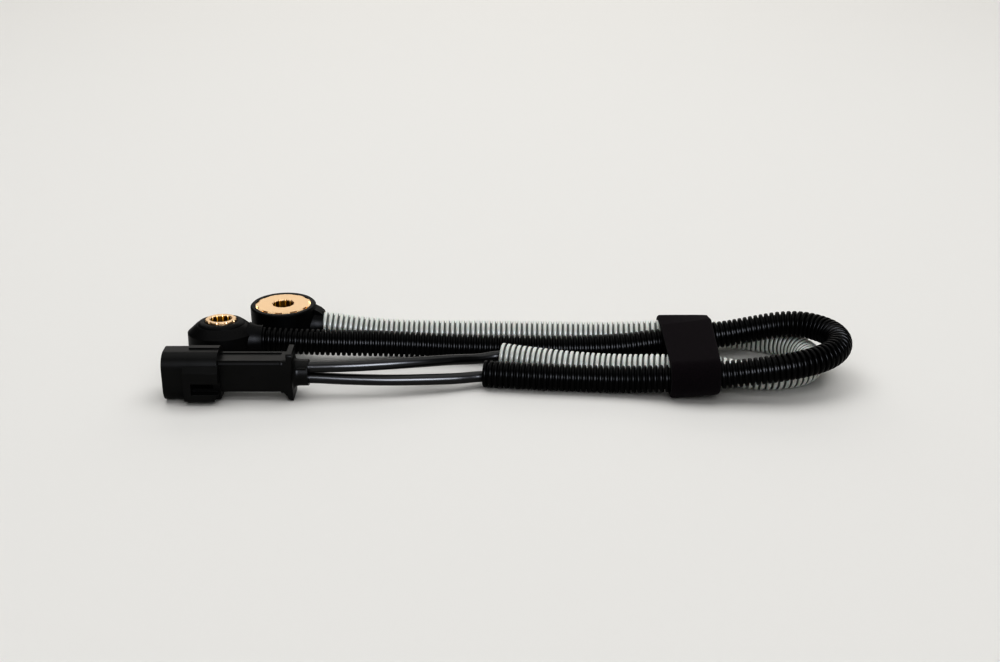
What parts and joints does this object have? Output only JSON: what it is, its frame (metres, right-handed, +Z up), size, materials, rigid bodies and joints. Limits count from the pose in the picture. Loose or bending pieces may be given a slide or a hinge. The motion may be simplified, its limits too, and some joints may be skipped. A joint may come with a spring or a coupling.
{
  "type": "engine knock sensor",
  "caption": "Pair of ring knock sensors with brass press sleeves, on a folded harness of black and white corrugated conduit with a sealed oval connector.",
  "frame": {"origin": "On the axis of the rear sensor's bore, at the surface the part lies on, which is the far end of the rear sensor's sleeve.", "axes": "+Z is up along the rear sensor's bore and leaves its wide seating face. +X runs along the harness from the sensors to the loop. +Y points from the connector's side to the rear sensor."},
  "size_m": [0.2611, 0.0722, 0.0218],
  "materials": {
    "brass": "turned, satin",
    "black_plastic": "glass filled polyamide, semi gloss",
    "conduit_black": "extruded, satin",
    "conduit_white": "extruded, natural, satin",
    "lead_black": "smooth jacket, glossy",
    "fleece": "fleece tape, matt",
    "steel": "ground",
    "ceramic": "fired, matt",
    "insulating_film": "film",
    "seal_rubber": "silicone, matt",
    "natural_plastic": "moulded, natural"
  },
  "bodies": {
    "root": {"rear_sleeve": "brass", "rear_housing": "black_plastic", "rear_lower_insulator": "insulating_film", "rear_lower_contact": "brass", "rear_piezo_ring": "ceramic", "rear_upper_contact": "brass", "rear_upper_insulator": "insulating_film", "rear_seismic_mass": "steel", "rear_disc_spring": "steel", "rear_ring_nut": "steel", "front_sleeve": "brass", "front_housing": "black_plastic", "front_lower_insulator": "insulating_film", "front_lower_contact": "brass", "front_piezo_ring": "ceramic", "front_upper_contact": "brass", "front_upper_insulator": "insulating_film", "front_seismic_mass": "steel", "front_disc_spring": "steel", "front_ring_nut": "steel", "rear_lead": "lead_black", "front_lead": "lead_black", "white_conduit": "conduit_white", "black_conduit": "conduit_black", "fleece_tape": "fleece", "connector_housing": "black_plastic", "rear_cap": "black_plastic", "wire_seal": "seal_rubber", "terminal_lock": "black_plastic", "pin_1": "brass", "pin_2": "brass", "pin_3": "brass", "pin_4": "brass", "core_1": "natural_plastic", "core_2": "natural_plastic", "core_3": "natural_plastic", "core_4": "natural_plastic"}
  },
  "joints": []
}
